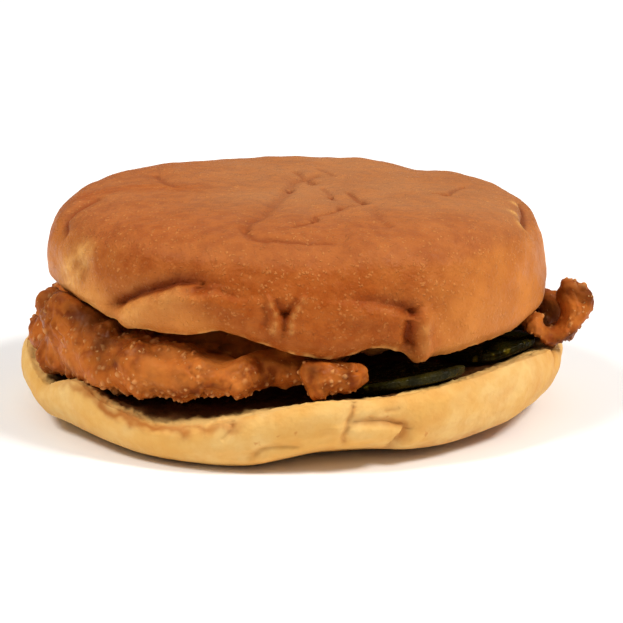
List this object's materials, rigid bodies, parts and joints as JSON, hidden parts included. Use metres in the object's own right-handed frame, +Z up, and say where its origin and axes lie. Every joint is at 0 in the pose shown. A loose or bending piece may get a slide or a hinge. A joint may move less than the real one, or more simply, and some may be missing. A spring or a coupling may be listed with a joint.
{
  "type": "chicken burger",
  "caption": "Soft round bun cut in two, filled with a ragged breaded chicken fillet and sliced pickle.",
  "frame": {"origin": "on the table under the middle of the whole burger's bounding box", "axes": "+Z up through the layers; +X towards the end where the fillet curls out; -Y towards the open front where the pickles show"},
  "size_m": [0.1237, 0.1121, 0.0473],
  "materials": {
    "brown_crust": "soft satin, finely pitted",
    "pale_crust": "matte, dry",
    "breading": "oily, craggy",
    "pickle": "wet"
  },
  "bodies": {
    "root": {"bottom_bun": "pale_crust", "pickle_slice_1": "pickle", "pickle_slice_2": "pickle", "chicken_fillet": "breading", "top_bun": "brown_crust"}
  },
  "joints": []
}
